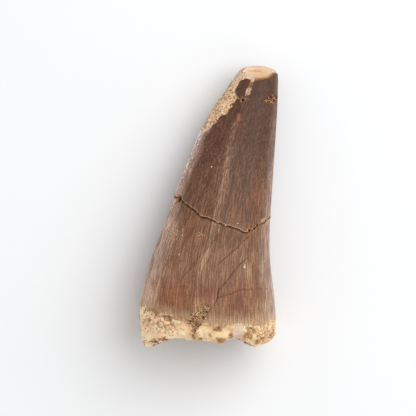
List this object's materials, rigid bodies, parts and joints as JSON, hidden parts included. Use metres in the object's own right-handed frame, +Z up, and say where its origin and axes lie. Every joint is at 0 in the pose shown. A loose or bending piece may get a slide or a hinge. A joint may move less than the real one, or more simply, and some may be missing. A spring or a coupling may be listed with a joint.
{
  "type": "fossil mosasaur tooth",
  "caption": "Fossil marine reptile tooth crown, curved and conical, re-glued where it broke, with a worn tip and a rough root band, lying on its side as a display piece.",
  "frame": {"origin": "under the middle of the tooth's bounding box, on the surface it rests on", "axes": "+Y along the crown from the broken root towards the worn tip, +X towards the straighter rear edge, +Z up from the surface the tooth lies on"},
  "size_m": [0.0272, 0.055, 0.0201],
  "materials": {
    "tooth": "mineralised brown enamel with fine lengthwise striations, satin; sandy cream where the enamel is flaked off and along the broken root"
  },
  "bodies": {
    "root": {"tooth": "tooth"}
  },
  "joints": []
}
